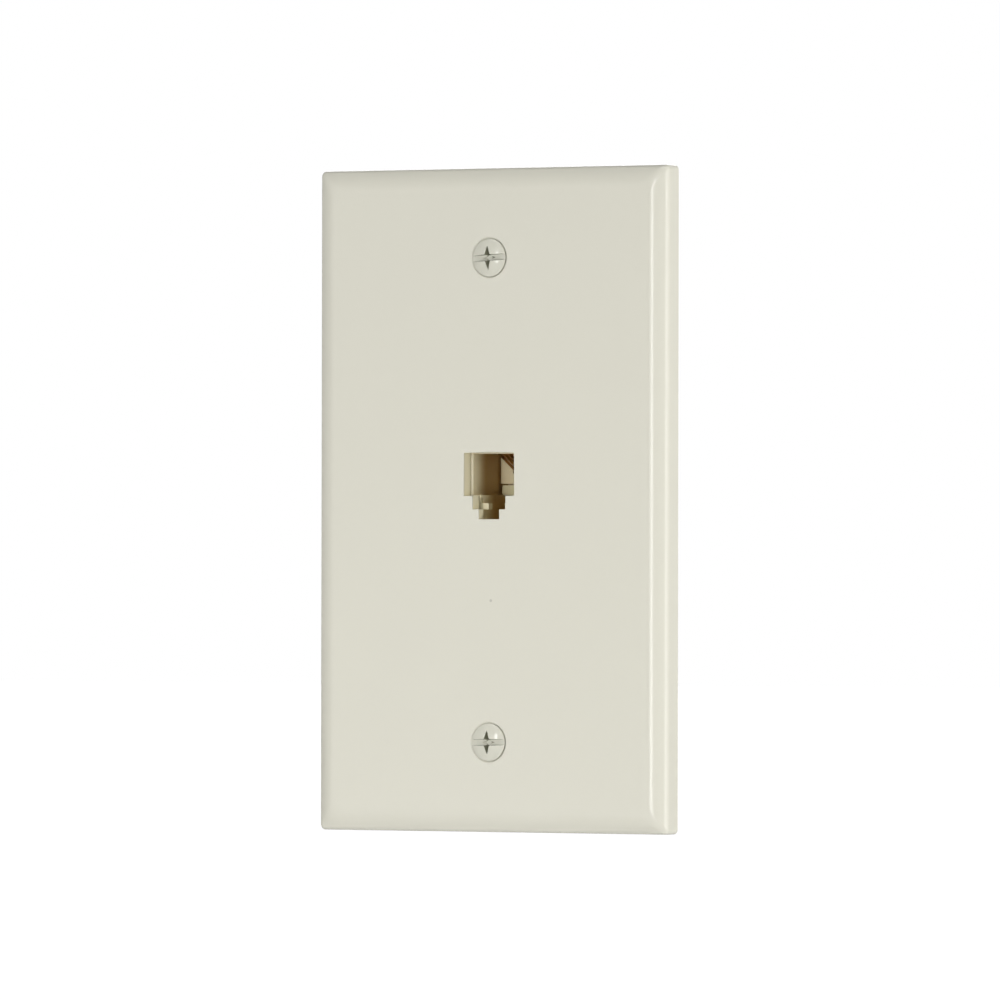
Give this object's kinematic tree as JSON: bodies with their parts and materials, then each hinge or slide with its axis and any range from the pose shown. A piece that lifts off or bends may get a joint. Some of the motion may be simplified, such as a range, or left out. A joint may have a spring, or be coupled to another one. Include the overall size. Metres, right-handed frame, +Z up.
{
  "type": "telephone wall socket",
  "caption": "Upright wall plate with a bevelled edge, a stepped modular telephone jack in the middle and a screw-terminal jack body behind.",
  "frame": {"origin": "middle of the plate on the wall plane, half way between the two mounting screws", "axes": "+X to the right seen from the front, +Y into the wall, +Z up; the face looks along -Y"},
  "size_m": [0.0698, 0.0207, 0.1142],
  "materials": {
    "almond_plate": "satin moulded plastic, light almond",
    "ivory_jack": "moulded plastic, ivory",
    "insert_ivory": "moulded plastic, ivory",
    "gold_spring": "gold-plated spring wire",
    "nickel_terminal": "nickel-plated steel",
    "tinned_lug": "tin-plated sheet",
    "insulation_black": "wire insulation",
    "insulation_red": "wire insulation",
    "insulation_green": "wire insulation",
    "insulation_yellow": "wire insulation",
    "painted_screw": "screw painted to match the plate"
  },
  "bodies": {
    "root": {"wall_plate": "almond_plate", "jack_body": "ivory_jack", "contact_insert": "insert_ivory", "contact_wire_1": "gold_spring", "contact_wire_2": "gold_spring", "contact_wire_3": "gold_spring", "contact_wire_4": "gold_spring", "lead_black": "insulation_black", "lead_red": "insulation_red", "lead_green": "insulation_green", "lead_yellow": "insulation_yellow", "lug_black": "tinned_lug", "lug_red": "tinned_lug", "lug_green": "tinned_lug", "lug_yellow": "tinned_lug", "terminal_washer_1": "nickel_terminal", "terminal_washer_2": "nickel_terminal", "terminal_washer_3": "nickel_terminal", "terminal_washer_4": "nickel_terminal", "terminal_screw_1": "nickel_terminal", "terminal_screw_2": "nickel_terminal", "terminal_screw_3": "nickel_terminal", "terminal_screw_4": "nickel_terminal", "mounting_screw_upper": "painted_screw", "mounting_screw_lower": "painted_screw"}
  },
  "joints": []
}
